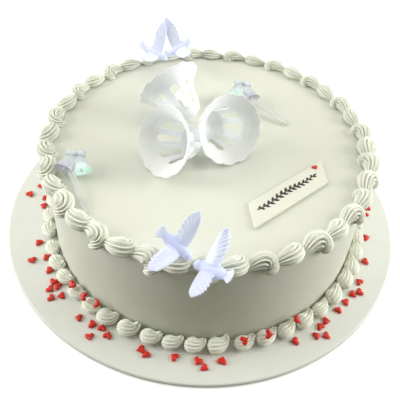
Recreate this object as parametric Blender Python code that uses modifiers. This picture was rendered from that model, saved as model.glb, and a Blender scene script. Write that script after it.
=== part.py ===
"""A round cream cake of one tier on its board, with piped borders and toppers.

Sizes are in metres, +Z is up. The origin is the centre of the board's underside,
and -Y is the side that the plaque and the two front doves face.
"""

import math
import random

import bmesh
import bpy
from mathutils import Euler, Matrix, Vector

# Driving dimensions
GAP = 0.0003

BOARD_RADIUS = 0.175
BOARD_THICKNESS = 0.004
BOARD_EDGE = 0.0012

CAKE_RADIUS = 0.133
CAKE_HEIGHT = 0.0857
CAKE_EDGE = 0.004
CAKE_CENTRE = Vector((0.0025, -0.005, 0.0))
CAKE_BOTTOM = BOARD_THICKNESS + GAP
CAKE_TOP = CAKE_BOTTOM + CAKE_HEIGHT
ROUND_STEPS = 40

TOP_SHELLS = 40
TOP_RING_RADIUS = 0.1312
TOP_SHELL_LENGTH = 0.031
TOP_SHELL_WIDTH = 0.0210
TOP_SHELL_HEIGHT = 0.0145
TOP_SHELL_SWING = math.radians(24)

BASE_SHELLS = 48
BASE_RING_RADIUS = 0.1388
BASE_SHELL_LENGTH = 0.024
BASE_SHELL_WIDTH = 0.0165
BASE_SHELL_HEIGHT = 0.0150
BASE_SHELL_SWING = math.radians(10)

DOVE_BODY_LENGTH = 0.024
DOVE_BODY_RADIUS = 0.0046
DOVE_HEAD_RADIUS = 0.0034
DOVE_WING_SPAN = 0.0285
DOVE_WING_CHORD = 0.0130
DOVE_WING_LIFT = math.radians(25)
DOVE_TAIL_LENGTH = 0.0075
DOVE_TAIL_WIDTH = 0.011
FEATHER_THICKNESS = 0.0012

BELL_HEIGHT = 0.036
BELL_RIM_RADIUS = 0.028
BELL_WALL = 0.0010
BELL_STEPS = 16
BELL_SCALLOP = 0.0008

PICK_STICK_LENGTH = 0.046
PICK_STICK_WIDTH = 0.0032
PICK_STICK_THICKNESS = 0.0012
PICK_BELL_LENGTH = 0.016
PICK_BELL_MOUTH = 0.0078
PICK_BELL_TOP = 0.0034
PICK_BELL_APART = 0.0085
PICK_DEPTH = 0.0032
PICK_BOW_LENGTH = 0.0125
PICK_BOW_KNOT = 0.0030
PICK_BOW_LOOP = 0.0050

PLAQUE_LENGTH = 0.0785
PLAQUE_WIDTH = 0.0255
PLAQUE_THICKNESS = 0.0026
PLAQUE_BEVEL = 0.0008
PLAQUE_TURN = math.radians(42.5)
PLAQUE_SLANT = math.radians(-80.5)
PLAQUE_CENTRE = Vector((0.0660, -0.0574, 0.0))

# Where each dove sits: centre of its body, then its turn about X, Y and Z
DOVE_PLACES = {
    "dove_front_left": ((-0.0150, -0.1250, 0.1085), (41, 31, -23)),
    "dove_front_right": ((0.0110, -0.1440, 0.1045), (-21, 14, 149)),
    "dove_back_left": ((-0.0580, 0.1090, 0.1068), (2, 23, -14)),
    "dove_back_right": ((-0.0230, 0.1160, 0.1110), (-23, 50, -170)),
}

# Where each bell lies: centre of its mouth in plan, the way it faces and its rise
BELL_PLACES = {
    "bell_left": ((-0.0320, -0.0350), -138, 27),
    "bell_right": ((0.0185, -0.0160), -56, 28),
    "bell_back": ((-0.0345, 0.0420), 126, 25),
}

# Where each pick's tip lies, the way its stick runs and its rise, then how far
# its head is turned and set off sideways from the stick
PICK_PLACES = {
    "pick_left": ((-0.0815, -0.0930), 117, 10, -25, -0.0040),
    "pick_right": ((0.0690, 0.0260), 147, 13, -50, 0.0015),
}


def empty_the_scene():
    """Remove what a new file holds, so that only the cake is in it."""
    for obj in list(bpy.data.objects):
        bpy.data.objects.remove(obj, do_unlink=True)


def new_collection(name):
    """Make a collection and link it to the scene."""
    collection = bpy.data.collections.new(name)
    bpy.context.scene.collection.children.link(collection)
    return collection


def add_material(obj, name, color, roughness, metallic=0.0):
    """Give an object its own Principled material."""
    material = bpy.data.materials.new(name)
    material.use_nodes = True
    shader = material.node_tree.nodes["Principled BSDF"]
    shader.inputs["Base Color"].default_value = (*color, 1.0)
    shader.inputs["Roughness"].default_value = roughness
    shader.inputs["Metallic"].default_value = metallic
    obj.data.materials.clear()
    obj.data.materials.append(material)


def new_object(name, mesh, collection):
    """Wrap a mesh in an object of the given collection."""
    obj = bpy.data.objects.new(name, mesh)
    collection.objects.link(obj)
    return obj


def object_from_bmesh(name, bm, collection):
    """Turn a bmesh into an object and free the bmesh."""
    mesh = bpy.data.meshes.new(name)
    bm.to_mesh(mesh)
    bm.free()
    return new_object(name, mesh, collection)


def settle(obj):
    """Swap an object's mesh for its evaluated one, without its modifiers."""
    bpy.context.view_layer.update()
    graph = bpy.context.evaluated_depsgraph_get()
    mesh = bpy.data.meshes.new_from_object(obj.evaluated_get(graph), depsgraph=graph)
    obj.modifiers.clear()
    obj.data = mesh
    return obj


def mark_as_cutter(obj):
    """Keep a helper out of the picture."""
    obj.hide_render = True
    obj.display_type = "WIRE"
    return obj


def add_boolean(obj, other, operation):
    """Add one Boolean modifier with the exact solver."""
    modifier = obj.modifiers.new(operation.title() + " " + other.name, "BOOLEAN")
    modifier.operation = operation
    modifier.solver = "EXACT"
    modifier.object = other


def turned_solid(name, profile, steps, collection):
    """Turn a profile of (radius, height) points, listed from top to bottom."""
    mesh = bpy.data.meshes.new(name)
    edges = [(i, i + 1) for i in range(len(profile) - 1)]
    mesh.from_pydata([(r, 0.0, z) for r, z in profile], edges, [])
    obj = new_object(name, mesh, collection)
    screw = obj.modifiers.new("Turn", "SCREW")
    screw.steps = steps
    screw.render_steps = steps
    screw.use_merge_vertices = True
    screw.merge_threshold = 0.00001
    return obj


def shade_round(obj, angle=35):
    """Shade smooth, with creases left sharp."""
    obj.data.shade_smooth()
    obj.data.set_sharp_from_angle(angle=math.radians(angle))


def make_board(parts):
    """The flat round board, with its edge broken above and below."""
    inner = BOARD_RADIUS - BOARD_EDGE
    profile = [(0.0, BOARD_THICKNESS), (inner, BOARD_THICKNESS),
               (BOARD_RADIUS, BOARD_THICKNESS - BOARD_EDGE),
               (BOARD_RADIUS, BOARD_EDGE), (inner, 0.0), (0.0, 0.0)]
    board = settle(turned_solid("cake_board", profile, ROUND_STEPS, parts))
    add_material(board, "White coated board", (0.83, 0.85, 0.80), 0.35)
    shade_round(board)
    return board


def make_cake(parts):
    """The cream-covered cake as one solid, rounded at its top edge."""
    profile = [(0.0, CAKE_TOP)]
    for step in range(3):
        angle = math.radians(90 - 45 * step)
        profile.append((CAKE_RADIUS - CAKE_EDGE + CAKE_EDGE * math.cos(angle),
                        CAKE_TOP - CAKE_EDGE + CAKE_EDGE * math.sin(angle)))
    profile += [(CAKE_RADIUS, CAKE_BOTTOM), (0.0, CAKE_BOTTOM)]
    cake = settle(turned_solid("cake", profile, ROUND_STEPS, parts))
    cake.location = CAKE_CENTRE
    add_material(cake, "Smooth cream", (0.80, 0.82, 0.71), 0.45)
    shade_round(cake)
    return cake


def piped_shell(length, width, height, ribs, rings):
    """One piped shell along +X: a full ribbed head that thins to a tail at -X.

    A ball with its poles at head and tail is stretched. One meridian runs along
    the bottom and the others are spread over the top as ribs and grooves.
    """
    meridians = 2 * ribs + 2
    reach = math.radians(112)
    bm = bmesh.new()
    bmesh.ops.create_uvsphere(bm, u_segments=meridians, v_segments=rings, radius=1.0)
    for vert in bm.verts:
        along = vert.co.z
        turn = round(math.atan2(vert.co.y, vert.co.x) / (2 * math.pi) * meridians) % meridians
        ring = math.hypot(vert.co.x, vert.co.y)
        angle = -reach + 2 * reach * (turn - 1) / (meridians - 2)
        groove = 1.0 if turn % 2 == 0 else 0.80
        if turn == 0:
            angle, groove = math.pi, 0.9
        fullness = 0.45 + 0.55 * math.sin(math.radians(90) * (along + 1.0) / 1.45)
        radius = ring * fullness * groove
        droop = 0.20 * height * along * along
        vert.co = Vector((along * length / 2, math.sin(angle) * radius * width / 2,
                          math.cos(angle) * radius * height / 2 + height * 0.40 - droop))
    bmesh.ops.recalc_face_normals(bm, faces=bm.faces)
    return bm


def ring_half(name, start, border, rng, helpers):
    """Every second shell of a border, joined into one mesh of separate shells.

    The heads lead round the cake counterclockwise, one outward and one inward.
    Each shell is flat below, just over what it lies on, and a shell beside the
    cake's wall is flat there too.
    """
    count, radius, base_z, swing, wall, shell = border
    bm = bmesh.new()
    for k in range(start, count, 2):
        angle = 2 * math.pi * (k + rng.uniform(-0.06, 0.06)) / count
        side = 1.0 if k % 2 == 0 else -1.0
        turn = angle + math.pi / 2 - side * swing * rng.uniform(0.85, 1.15)
        place = Vector((math.cos(angle) * radius, math.sin(angle) * radius, 0.0))
        matrix = (Matrix.Translation(place) @ Matrix.Rotation(turn, 4, "Z")
                  @ Matrix.Scale(rng.uniform(0.96, 1.06), 4))
        piece = piped_shell(**shell)
        for vert in piece.verts:
            vert.co = matrix @ vert.co
            flat = math.hypot(vert.co.x, vert.co.y)
            push = max(1.0, wall / flat)
            vert.co.x *= push
            vert.co.y *= push
            vert.co.z = max(vert.co.z, 0.0)
        bmesh.ops.translate(piece, verts=piece.verts,
                            vec=CAKE_CENTRE + Vector((0.0, 0.0, base_z + GAP)))
        mesh = bpy.data.meshes.new("piece")
        piece.to_mesh(mesh)
        piece.free()
        bm.from_mesh(mesh)
        bpy.data.meshes.remove(mesh)
    return mark_as_cutter(object_from_bmesh(name, bm, helpers))


def make_border(name, border, seed, dents, spaces):
    """A closed ring of piped shells: two sets of every second shell, united."""
    parts, helpers = spaces
    rng = random.Random(seed)
    ring = ring_half(name + "_even", 0, border, rng, helpers)
    add_boolean(ring, ring_half(name + "_odd", 1, border, rng, helpers), "UNION")
    for dent in dents:
        add_boolean(ring, dent, "DIFFERENCE")
    ring = new_object(name, settle(ring).data, parts)
    add_material(ring, name.replace("_", " ") + " cream", (0.84, 0.85, 0.76), 0.40)
    shade_round(ring, 50)
    return ring


def wing_mesh(side):
    """A raised wing: a plate that widens, sweeps back and ends in a point."""
    bm = bmesh.new()
    bmesh.ops.create_grid(bm, x_segments=4, y_segments=1, size=1.0)
    for vert in bm.verts:
        out = (vert.co.x + 1.0) / 2
        across = vert.co.y
        chord = DOVE_WING_CHORD * (0.80 + 0.55 * out - 1.18 * out ** 3)
        lead = 0.0035 - 0.010 * out ** 2
        reach = DOVE_WING_SPAN * out
        lift = DOVE_WING_LIFT * (0.6 + 0.4 * out)
        camber = 0.0012 * (1.0 - across * across)
        vert.co = Vector((lead - chord * (1.0 - across) / 2 + 0.004,
                          side * reach * math.cos(lift),
                          0.0015 + reach * math.sin(lift) + camber))
    return bm


def tail_mesh():
    """A short tail that fans out behind the body."""
    bm = bmesh.new()
    bmesh.ops.create_grid(bm, x_segments=1, y_segments=2, size=1.0)
    for vert in bm.verts:
        back = (1.0 - vert.co.x) / 2
        half = DOVE_TAIL_WIDTH / 2 * (0.35 + 0.65 * back)
        vert.co = Vector((-0.008 - DOVE_TAIL_LENGTH * back, vert.co.y * half,
                          0.0008 * (1.0 - vert.co.y ** 2) + 0.0016 * back))
    return bm


def plate(name, bm, helpers):
    """Give an open sheet the thickness of moulded feathers."""
    obj = object_from_bmesh(name, bm, helpers)
    solid = obj.modifiers.new("Thickness", "SOLIDIFY")
    solid.thickness = FEATHER_THICKNESS
    solid.offset = 0.0
    return mark_as_cutter(settle(obj))


def ball(name, radii, centre, segments, rings, taper, helpers):
    """A ball stretched to three radii, thinner towards -X by its taper."""
    bm = bmesh.new()
    bmesh.ops.create_uvsphere(bm, u_segments=segments, v_segments=rings, radius=1.0)
    for vert in bm.verts:
        along = vert.co.z
        thin = 1.0 - taper * (1.0 - along) / 2
        vert.co = Vector((along * radii[0], vert.co.y * radii[1] * thin,
                          -vert.co.x * radii[2] * thin)) + Vector(centre)
    bmesh.ops.recalc_face_normals(bm, faces=bm.faces)
    return mark_as_cutter(object_from_bmesh(name, bm, helpers))


def dove_solid(helpers):
    """One flying dove along +X, joined from body, head, beak, wings and tail."""
    body = ball("dove_body", (DOVE_BODY_LENGTH / 2, DOVE_BODY_RADIUS, DOVE_BODY_RADIUS),
                (0.0, 0.0, 0.0), 7, 5, 0.45, helpers)
    head = ball("dove_head", (DOVE_HEAD_RADIUS * 1.15, DOVE_HEAD_RADIUS, DOVE_HEAD_RADIUS),
                (DOVE_BODY_LENGTH * 0.49, 0.0, 0.0024), 6, 4, 0.0, helpers)
    beak = ball("dove_beak", (0.0026, 0.0011, 0.0011),
                (DOVE_BODY_LENGTH * 0.49 + 0.0042, 0.0, 0.0018), 5, 3, -0.8, helpers)
    pieces = [head, beak, plate("dove_wing_right", wing_mesh(-1.0), helpers),
              plate("dove_wing_left", wing_mesh(1.0), helpers),
              plate("dove_tail", tail_mesh(), helpers)]
    for piece in pieces:
        add_boolean(body, piece, "UNION")
    return settle(body)


def grown_copy(obj, name, helpers):
    """A cutter that is the object's shape, grown by the clearance."""
    cutter = new_object(name, obj.data.copy(), helpers)
    cutter.matrix_world = obj.matrix_world.copy()
    grow = cutter.modifiers.new("Clearance", "DISPLACE")
    grow.strength = 1.6 * GAP
    grow.mid_level = 0.0
    return mark_as_cutter(cutter)


def make_doves(spaces):
    """The four doves, one mesh shared by all, in two facing pairs."""
    parts, helpers = spaces
    shape = dove_solid(helpers).data
    doves = []
    for name, (place, turn) in DOVE_PLACES.items():
        dove = new_object(name, shape.copy(), parts)
        dove.location = place
        dove.rotation_euler = Euler([math.radians(a) for a in turn], "XYZ")
        add_material(dove, name.replace("_", " ") + " plastic", (0.70, 0.74, 0.93), 0.35)
        shade_round(dove, 40)
        doves.append(dove)
    bpy.context.view_layer.update()
    return doves


def make_bell(name, mouth, facing, rise, parts):
    """A bell on its side, which rests on its scalloped rim and its shoulder."""
    height, rim, wall = BELL_HEIGHT, BELL_RIM_RADIUS, BELL_WALL
    profile = [(0.0, height), (0.26 * rim, 0.96 * height), (0.50 * rim, 0.74 * height),
               (0.60 * rim, 0.36 * height), (rim, 0.0),
               (rim - 1.3 * wall, 0.0), (0.60 * rim - wall, 0.36 * height),
               (0.50 * rim - wall, 0.74 * height - 0.6 * wall),
               (0.24 * rim, 0.96 * height - 1.3 * wall), (0.0, height - 1.3 * wall)]
    bell = settle(turned_solid(name, profile, BELL_STEPS, parts))
    for vert in bell.data.vertices:
        radius = math.hypot(vert.co.x, vert.co.y)
        if vert.co.z < 0.05 * height:
            step = round(math.atan2(vert.co.y, vert.co.x) / (2 * math.pi) * BELL_STEPS)
            wave = BELL_SCALLOP * (1.0 if step % 2 == 0 else -1.0)
            vert.co.x *= 1.0 + wave / radius
            vert.co.y *= 1.0 + wave / radius
    facing, rise = math.radians(facing), math.radians(rise)
    axis = Vector((math.cos(facing) * math.cos(rise), math.sin(facing) * math.cos(rise),
                   math.sin(rise)))
    bell.rotation_mode = "QUATERNION"
    bell.rotation_quaternion = (-axis).to_track_quat("Z", "Y")
    lowest = BELL_SCALLOP + max(r * math.cos(rise) + z * math.sin(rise) for r, z in profile)
    bell.location = (mouth[0], mouth[1], CAKE_TOP + GAP + lowest)
    add_material(bell, name.replace("_", " ") + " plastic", (0.88, 0.89, 0.90), 0.35)
    shade_round(bell, 40)
    return bell


def cone_along(name, start, turn, length, wide, narrow, flat, segments, helpers):
    """A flattened cone in the pick's plane, from its wide mouth at start."""
    bm = bmesh.new()
    bmesh.ops.create_cone(bm, cap_ends=True, cap_tris=False, segments=segments,
                          radius1=wide, radius2=narrow, depth=length)
    matrix = (Matrix.Translation(start) @ Matrix.Rotation(turn, 4, "Z")
              @ Matrix.Scale(flat, 4, Vector((0.0, 0.0, 1.0)))
              @ Matrix.Rotation(math.radians(90), 4, "Y")
              @ Matrix.Translation((0.0, 0.0, length / 2)))
    bmesh.ops.transform(bm, matrix=matrix, verts=bm.verts)
    return mark_as_cutter(object_from_bmesh(name, bm, helpers))


def pick_solid(head_turn, head_shift, helpers):
    """One pick along +X: a flat stick, two small bells at its end and a bow.

    The head is turned about the stick's end and set off sideways from it.
    """
    bm = bmesh.new()
    bmesh.ops.create_cube(bm, size=1.0)
    for vert in bm.verts:
        slim = 1.0 if vert.co.x > 0 else 0.45
        vert.co = Vector(((vert.co.x + 0.5) * PICK_STICK_LENGTH,
                          vert.co.y * PICK_STICK_WIDTH * slim,
                          vert.co.z * PICK_STICK_THICKNESS))
    stick = mark_as_cutter(object_from_bmesh("pick_stick", bm, helpers))
    head = Matrix.Rotation(head_turn, 4, "Z") @ Matrix.Translation((-0.003, head_shift, 0.0))
    head = Matrix.Translation((PICK_STICK_LENGTH, 0.0, 0.0)) @ head
    flat = PICK_DEPTH / PICK_BELL_MOUTH
    pieces = []
    for side in (-1.0, 1.0):
        mouth = head @ Vector((side * 0.0006, side * PICK_BELL_APART, 0.0001 * side))
        pieces.append(cone_along("pick_bell", mouth, head_turn - side * math.radians(20),
                                 PICK_BELL_LENGTH, PICK_BELL_MOUTH, PICK_BELL_TOP, flat,
                                 9, helpers))
        knot = head @ Vector((PICK_BELL_LENGTH, -side * 0.001, 0.0002 * side))
        pieces.append(cone_along("pick_bow", knot, head_turn + side * math.radians(80),
                                 PICK_BOW_LENGTH, PICK_BOW_KNOT, PICK_BOW_LOOP, 0.45,
                                 7, helpers))
    for piece in pieces:
        add_boolean(stick, piece, "UNION")
    return settle(stick)


def make_picks(spaces):
    """The two picks, each lying on the cake at a low slant."""
    parts, helpers = spaces
    picks = []
    for name, (tip, facing, rise, head_turn, head_shift) in PICK_PLACES.items():
        shape = pick_solid(math.radians(head_turn), head_shift, helpers).data
        pick = new_object(name, shape, parts)
        pick.rotation_euler = Euler((0.0, -math.radians(rise), math.radians(facing)), "XYZ")
        pick.location = (tip[0], tip[1], CAKE_TOP + GAP + PICK_STICK_THICKNESS)
        add_material(pick, name.replace("_", " ") + " clear plastic", (0.80, 0.84, 0.90), 0.15)
        shade_round(pick, 40)
        picks.append(pick)
    bpy.context.view_layer.update()
    return picks


def make_plaque(parts):
    """The thin plaque with slanted ends, flat on the cake's top."""
    along = Vector((math.cos(PLAQUE_TURN), math.sin(PLAQUE_TURN))) * PLAQUE_LENGTH / 2
    across = Vector((math.cos(PLAQUE_SLANT), math.sin(PLAQUE_SLANT))) * PLAQUE_WIDTH / 2
    bm = bmesh.new()
    bmesh.ops.create_cube(bm, size=2.0)
    for vert in bm.verts:
        flat = vert.co.x * along - vert.co.y * across
        vert.co = Vector((flat.x, flat.y, (vert.co.z + 1.0) / 2 * PLAQUE_THICKNESS))
    bmesh.ops.recalc_face_normals(bm, faces=bm.faces)
    plaque = object_from_bmesh("plaque", bm, parts)
    bevel = plaque.modifiers.new("Broken edge", "BEVEL")
    bevel.width = PLAQUE_BEVEL
    bevel.segments = 1
    settle(plaque)
    plaque.location = PLAQUE_CENTRE + Vector((0.0, 0.0, CAKE_TOP + GAP))
    add_material(plaque, "Ivory sugar plaque", (0.84, 0.85, 0.74), 0.45)
    return plaque


def main():
    """Build the whole cake."""
    empty_the_scene()
    parts = new_collection("cream_cake")
    helpers = new_collection("cutters")
    spaces = (parts, helpers)

    make_board(parts)
    make_cake(parts)
    doves = make_doves(spaces)
    picks = make_picks(spaces)
    for name, (mouth, facing, rise) in BELL_PLACES.items():
        make_bell(name, mouth, facing, rise, parts)
    make_plaque(parts)

    dents = [grown_copy(piece, piece.name + "_dent", helpers) for piece in doves + picks[:1]]
    top_shell = dict(length=TOP_SHELL_LENGTH, width=TOP_SHELL_WIDTH,
                     height=TOP_SHELL_HEIGHT, ribs=4, rings=5)
    make_border("top_border", (TOP_SHELLS, TOP_RING_RADIUS, CAKE_TOP, TOP_SHELL_SWING,
                               0.0, top_shell), 7, dents, spaces)
    base_shell = dict(length=BASE_SHELL_LENGTH, width=BASE_SHELL_WIDTH,
                      height=BASE_SHELL_HEIGHT, ribs=3, rings=4)
    make_border("base_border", (BASE_SHELLS, BASE_RING_RADIUS, BOARD_THICKNESS,
                                BASE_SHELL_SWING, CAKE_RADIUS + 1.5 * GAP, base_shell),
                11, [], spaces)


main()
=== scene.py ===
# %% [markdown]
# # A round cream wedding cake on its board
#
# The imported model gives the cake's real size: a round board, one tier in smooth
# cream, two piped borders, four doves, three bells, two clear picks and a plaque.
# This lesson builds the finished look of each of them in the same place, one
# piece at a time. All lengths are in metres, and +Z is up.

import math
import random

import bmesh
import bpy
from mathutils import Euler, Matrix, Vector


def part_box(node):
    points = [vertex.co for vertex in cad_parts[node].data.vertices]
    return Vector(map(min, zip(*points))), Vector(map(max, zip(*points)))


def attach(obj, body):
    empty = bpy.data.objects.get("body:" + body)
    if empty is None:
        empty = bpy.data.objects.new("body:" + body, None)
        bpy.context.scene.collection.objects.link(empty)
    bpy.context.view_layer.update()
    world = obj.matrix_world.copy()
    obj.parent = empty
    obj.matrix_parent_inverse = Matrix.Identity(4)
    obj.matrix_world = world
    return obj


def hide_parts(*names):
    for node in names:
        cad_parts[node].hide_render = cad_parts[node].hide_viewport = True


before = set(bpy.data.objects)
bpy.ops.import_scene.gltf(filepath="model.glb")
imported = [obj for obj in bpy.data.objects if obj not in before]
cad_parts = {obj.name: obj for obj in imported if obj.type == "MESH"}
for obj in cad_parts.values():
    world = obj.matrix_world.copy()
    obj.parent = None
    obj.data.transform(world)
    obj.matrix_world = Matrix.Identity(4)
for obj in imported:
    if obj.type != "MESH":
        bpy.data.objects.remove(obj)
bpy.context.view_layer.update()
MM = 0.001
print("nodes:", ", ".join(sorted(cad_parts)))

# %% [markdown]
# ## The measures that several pieces share
#
# The cake stands a little off the board's centre. Its top, its wall and the
# board's top are read from the model, so that every piece that lies on them is
# placed by the same numbers.

# %% Read the shared measures
board_low, board_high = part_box("cake_board")
cake_low, cake_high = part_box("cake")
BOARD_RADIUS = (board_high.x - board_low.x) / 2
BOARD_TOP = board_high.z
CAKE_RADIUS = (cake_high.x - cake_low.x) / 2
CAKE_TOP = cake_high.z
CAKE_CENTRE = Vector(((cake_low.x + cake_high.x) / 2, (cake_low.y + cake_high.y) / 2, 0.0))
print("board", round(2 * BOARD_RADIUS, 4), "cake", round(2 * CAKE_RADIUS, 4), "top at", round(CAKE_TOP, 4))

# %% [markdown]
# ## The camera
#
# The photograph looks down on the cake from in front. The cake's two borders are
# circles, and their outlines in the picture give the distance, the angle and the
# focal length. The camera could be set by eye and nudged, but named angles say
# what each change does: it looks at the board's centre, and then turns, nods and
# tilts by the small angles that the framing needs.

# %% Place the camera
VIEW_DISTANCE = 0.5567
VIEW_RISE = math.radians(47.34)
VIEW_TURN = math.radians(-0.48)
VIEW_NOD = math.radians(1.39)
VIEW_TILT = math.radians(3.78)
VIEW_CENTRE = Vector((0.0025, -0.0051, BOARD_TOP))
FOCAL_PIXELS = 600.0
IMAGE_PIXELS = 400.0
SENSOR_WIDTH = 36.0
NEAREST_SEEN = 0.01


def place_camera():
    """Make the camera from its distance, its rise and its three small turns."""
    away = Vector((0.0, -math.cos(VIEW_RISE), math.sin(VIEW_RISE)))
    right = Vector((1.0, 0.0, 0.0))
    over = right.cross(-away)
    ahead = (-away + math.tan(VIEW_TURN) * right + math.tan(VIEW_NOD) * over).normalized()
    right = (right - ahead * right.dot(ahead)).normalized()
    over = right.cross(ahead)
    side = math.cos(VIEW_TILT) * right + math.sin(VIEW_TILT) * over
    top = math.cos(VIEW_TILT) * over - math.sin(VIEW_TILT) * right
    data = bpy.data.cameras.new("photo_camera")
    data.sensor_width = SENSOR_WIDTH
    data.lens = FOCAL_PIXELS / IMAGE_PIXELS * SENSOR_WIDTH
    data.clip_start = NEAREST_SEEN
    camera = bpy.data.objects.new("photo_camera", data)
    bpy.context.scene.collection.objects.link(camera)
    turn = Matrix((side, top, -ahead)).transposed().to_4x4()
    camera.matrix_world = Matrix.Translation(VIEW_CENTRE + away * VIEW_DISTANCE) @ turn
    bpy.context.scene.camera = camera
    return camera


camera = place_camera()
print("camera at", [round(c, 3) for c in camera.location], "lens", camera.data.lens)

# %% [markdown]
# ## Helpers for modelling
#
# A primitive is added at its size, shaped in edit mode, and finished with
# modifiers that are applied. Blender's operators act on what is selected, so
# everything is deselected first, and faces are picked in code by their place.

# %% Select one piece, and add a new one
def deselect_all():
    """Leave nothing selected and nothing in edit mode."""
    if bpy.context.object and bpy.context.object.mode != "OBJECT":
        bpy.ops.object.mode_set(mode="OBJECT")
    bpy.ops.object.select_all(action="DESELECT")


def make_active(piece):
    """Select one piece alone and make it the one that operators act on."""
    deselect_all()
    piece.select_set(True)
    bpy.context.view_layer.objects.active = piece


def new_primitive(name, operator, **settings):
    """Add a primitive with a mesh operator and give it its name."""
    deselect_all()
    operator(**settings)
    piece = bpy.context.object
    piece.name = name
    piece.data.name = name
    return piece


def own_copy(master):
    """A copy of a master piece with a mesh of its own."""
    piece = master.copy()
    piece.data = master.data.copy()
    bpy.context.scene.collection.objects.link(piece)
    return piece


# %% Shape a piece in edit mode, with a modifier or by a rule
def apply_modifier(piece, kind, **settings):
    """Put one modifier on a piece and apply it."""
    make_active(piece)
    modifier = piece.modifiers.new(kind.title(), kind)
    for setting, value in settings.items():
        setattr(modifier, setting, value)
    bpy.ops.object.modifier_apply(modifier=modifier.name)


def edit_where(piece, mode, test, *steps):
    """Select the vertices, edges or faces that pass a test, and run edit steps on them."""
    make_active(piece)
    bpy.ops.object.mode_set(mode="EDIT")
    bpy.ops.mesh.select_mode(type=mode)
    bpy.ops.mesh.select_all(action="DESELECT")
    bpy.ops.object.mode_set(mode="OBJECT")
    mesh = piece.data
    parts = {"VERT": mesh.vertices, "EDGE": mesh.edges, "FACE": mesh.polygons}[mode]
    chosen = 0
    for part in parts:
        if mode == "EDGE":
            ends = [mesh.vertices[v].co for v in part.vertices]
            part.select = test(ends[0], ends[1])
        elif mode == "FACE":
            part.select = test(part.center, part.normal)
        else:
            part.select = test(part.co)
        chosen += part.select
    bpy.ops.object.mode_set(mode="EDIT")
    for operator, settings in steps:
        operator(**settings)
    bpy.ops.object.mode_set(mode="OBJECT")
    return chosen


def reshape(piece, rule):
    """Move every vertex to where a rule puts it."""
    for vertex in piece.data.vertices:
        vertex.co = rule(vertex.co.copy())
    piece.data.update()


# %% Clean, join, place and smooth a piece
SAME_POINT = 0.000002


def face_outwards(piece):
    """Merge doubled points and turn all faces outwards."""
    bm = bmesh.new()
    bm.from_mesh(piece.data)
    bmesh.ops.remove_doubles(bm, verts=bm.verts, dist=SAME_POINT)
    bmesh.ops.recalc_face_normals(bm, faces=bm.faces)
    bm.to_mesh(piece.data)
    bm.free()


def join_pieces(name, pieces):
    """Join several pieces into one mesh under one name."""
    make_active(pieces[0])
    for piece in pieces:
        piece.select_set(True)
    if len(pieces) > 1:
        bpy.ops.object.join()
    joined = bpy.context.object
    joined.name = name
    joined.data.name = name
    return joined


def set_in_place(piece, matrix):
    """Turn and move a piece in its mesh, so that its object stays at the origin."""
    piece.data.transform(matrix)
    piece.matrix_world = Matrix.Identity(4)


def smooth(piece, degrees=40):
    """Shade a piece smooth, and leave creases above an angle sharp."""
    make_active(piece)
    bpy.ops.object.shade_smooth_by_angle(angle=math.radians(degrees))


# %% [markdown]
# ## Handing a piece over
#
# Nothing on the cake moves, so every finished piece rides on the one body, root.
# Each also takes its finish, and the plain solids of the packed model that it
# stands for are hidden. One function does this, so that no piece is forgotten.

# %% Write the handing over
def hand_over(piece, slot, material, *nodes):
    """Give a finished piece its material and its body, and hide the parts that it stands for. The slot is
    not used.
    """
    piece.data.materials.clear()
    piece.data.materials.append(material)
    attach(piece, "root")
    if nodes:
        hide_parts(*nodes)
    faces = sum(len(p.vertices) - 2 for p in piece.data.polygons)
    print(piece.name, faces, "triangles")


# %% [markdown]
# ## Helpers for materials
#
# A material here is a small recipe. Its nodes could be dragged together by hand,
# but a formula is easier to read and to change. So a wrapped socket is a `Value`,
# on which the signs + - and * make Math nodes. All other nodes come from one
# method that takes a type, settings and sockets.

# %% Wrap a socket as a value
class Value:
    """A number that changes over the surface. Python's signs on it make Math nodes."""

    def __init__(self, recipe, socket):
        self.recipe = recipe
        self.socket = socket

    def maths(self, operation, *values):
        node = self.recipe.node("ShaderNodeMath", {"operation": operation}, *values)
        return Value(self.recipe, node.outputs[0])

    def __add__(self, other):
        return self.maths("ADD", self, other)

    def __radd__(self, other):
        return self.maths("ADD", other, self)

    def __sub__(self, other):
        return self.maths("SUBTRACT", self, other)

    def __rsub__(self, other):
        return self.maths("SUBTRACT", other, self)

    def __mul__(self, other):
        return self.maths("MULTIPLY", self, other)

    def __rmul__(self, other):
        return self.maths("MULTIPLY", other, self)

    def limit(self):
        """The value, kept between 0 and 1."""
        return self.maths("MINIMUM", self.maths("MAXIMUM", self, 0.0), 1.0)

    def wave(self):
        """A wave between 0 and 1 that rises and falls with the value."""
        return (self.maths("SINE", self) * 0.5 + 0.5).limit()


# %% Write the recipe that holds a material
# A Mix node has sockets for each kind of data, and these are the ones for colours
MIX_SHARE, MIX_FIRST, MIX_SECOND, MIX_RESULT = 0, 6, 7, 2


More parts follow.
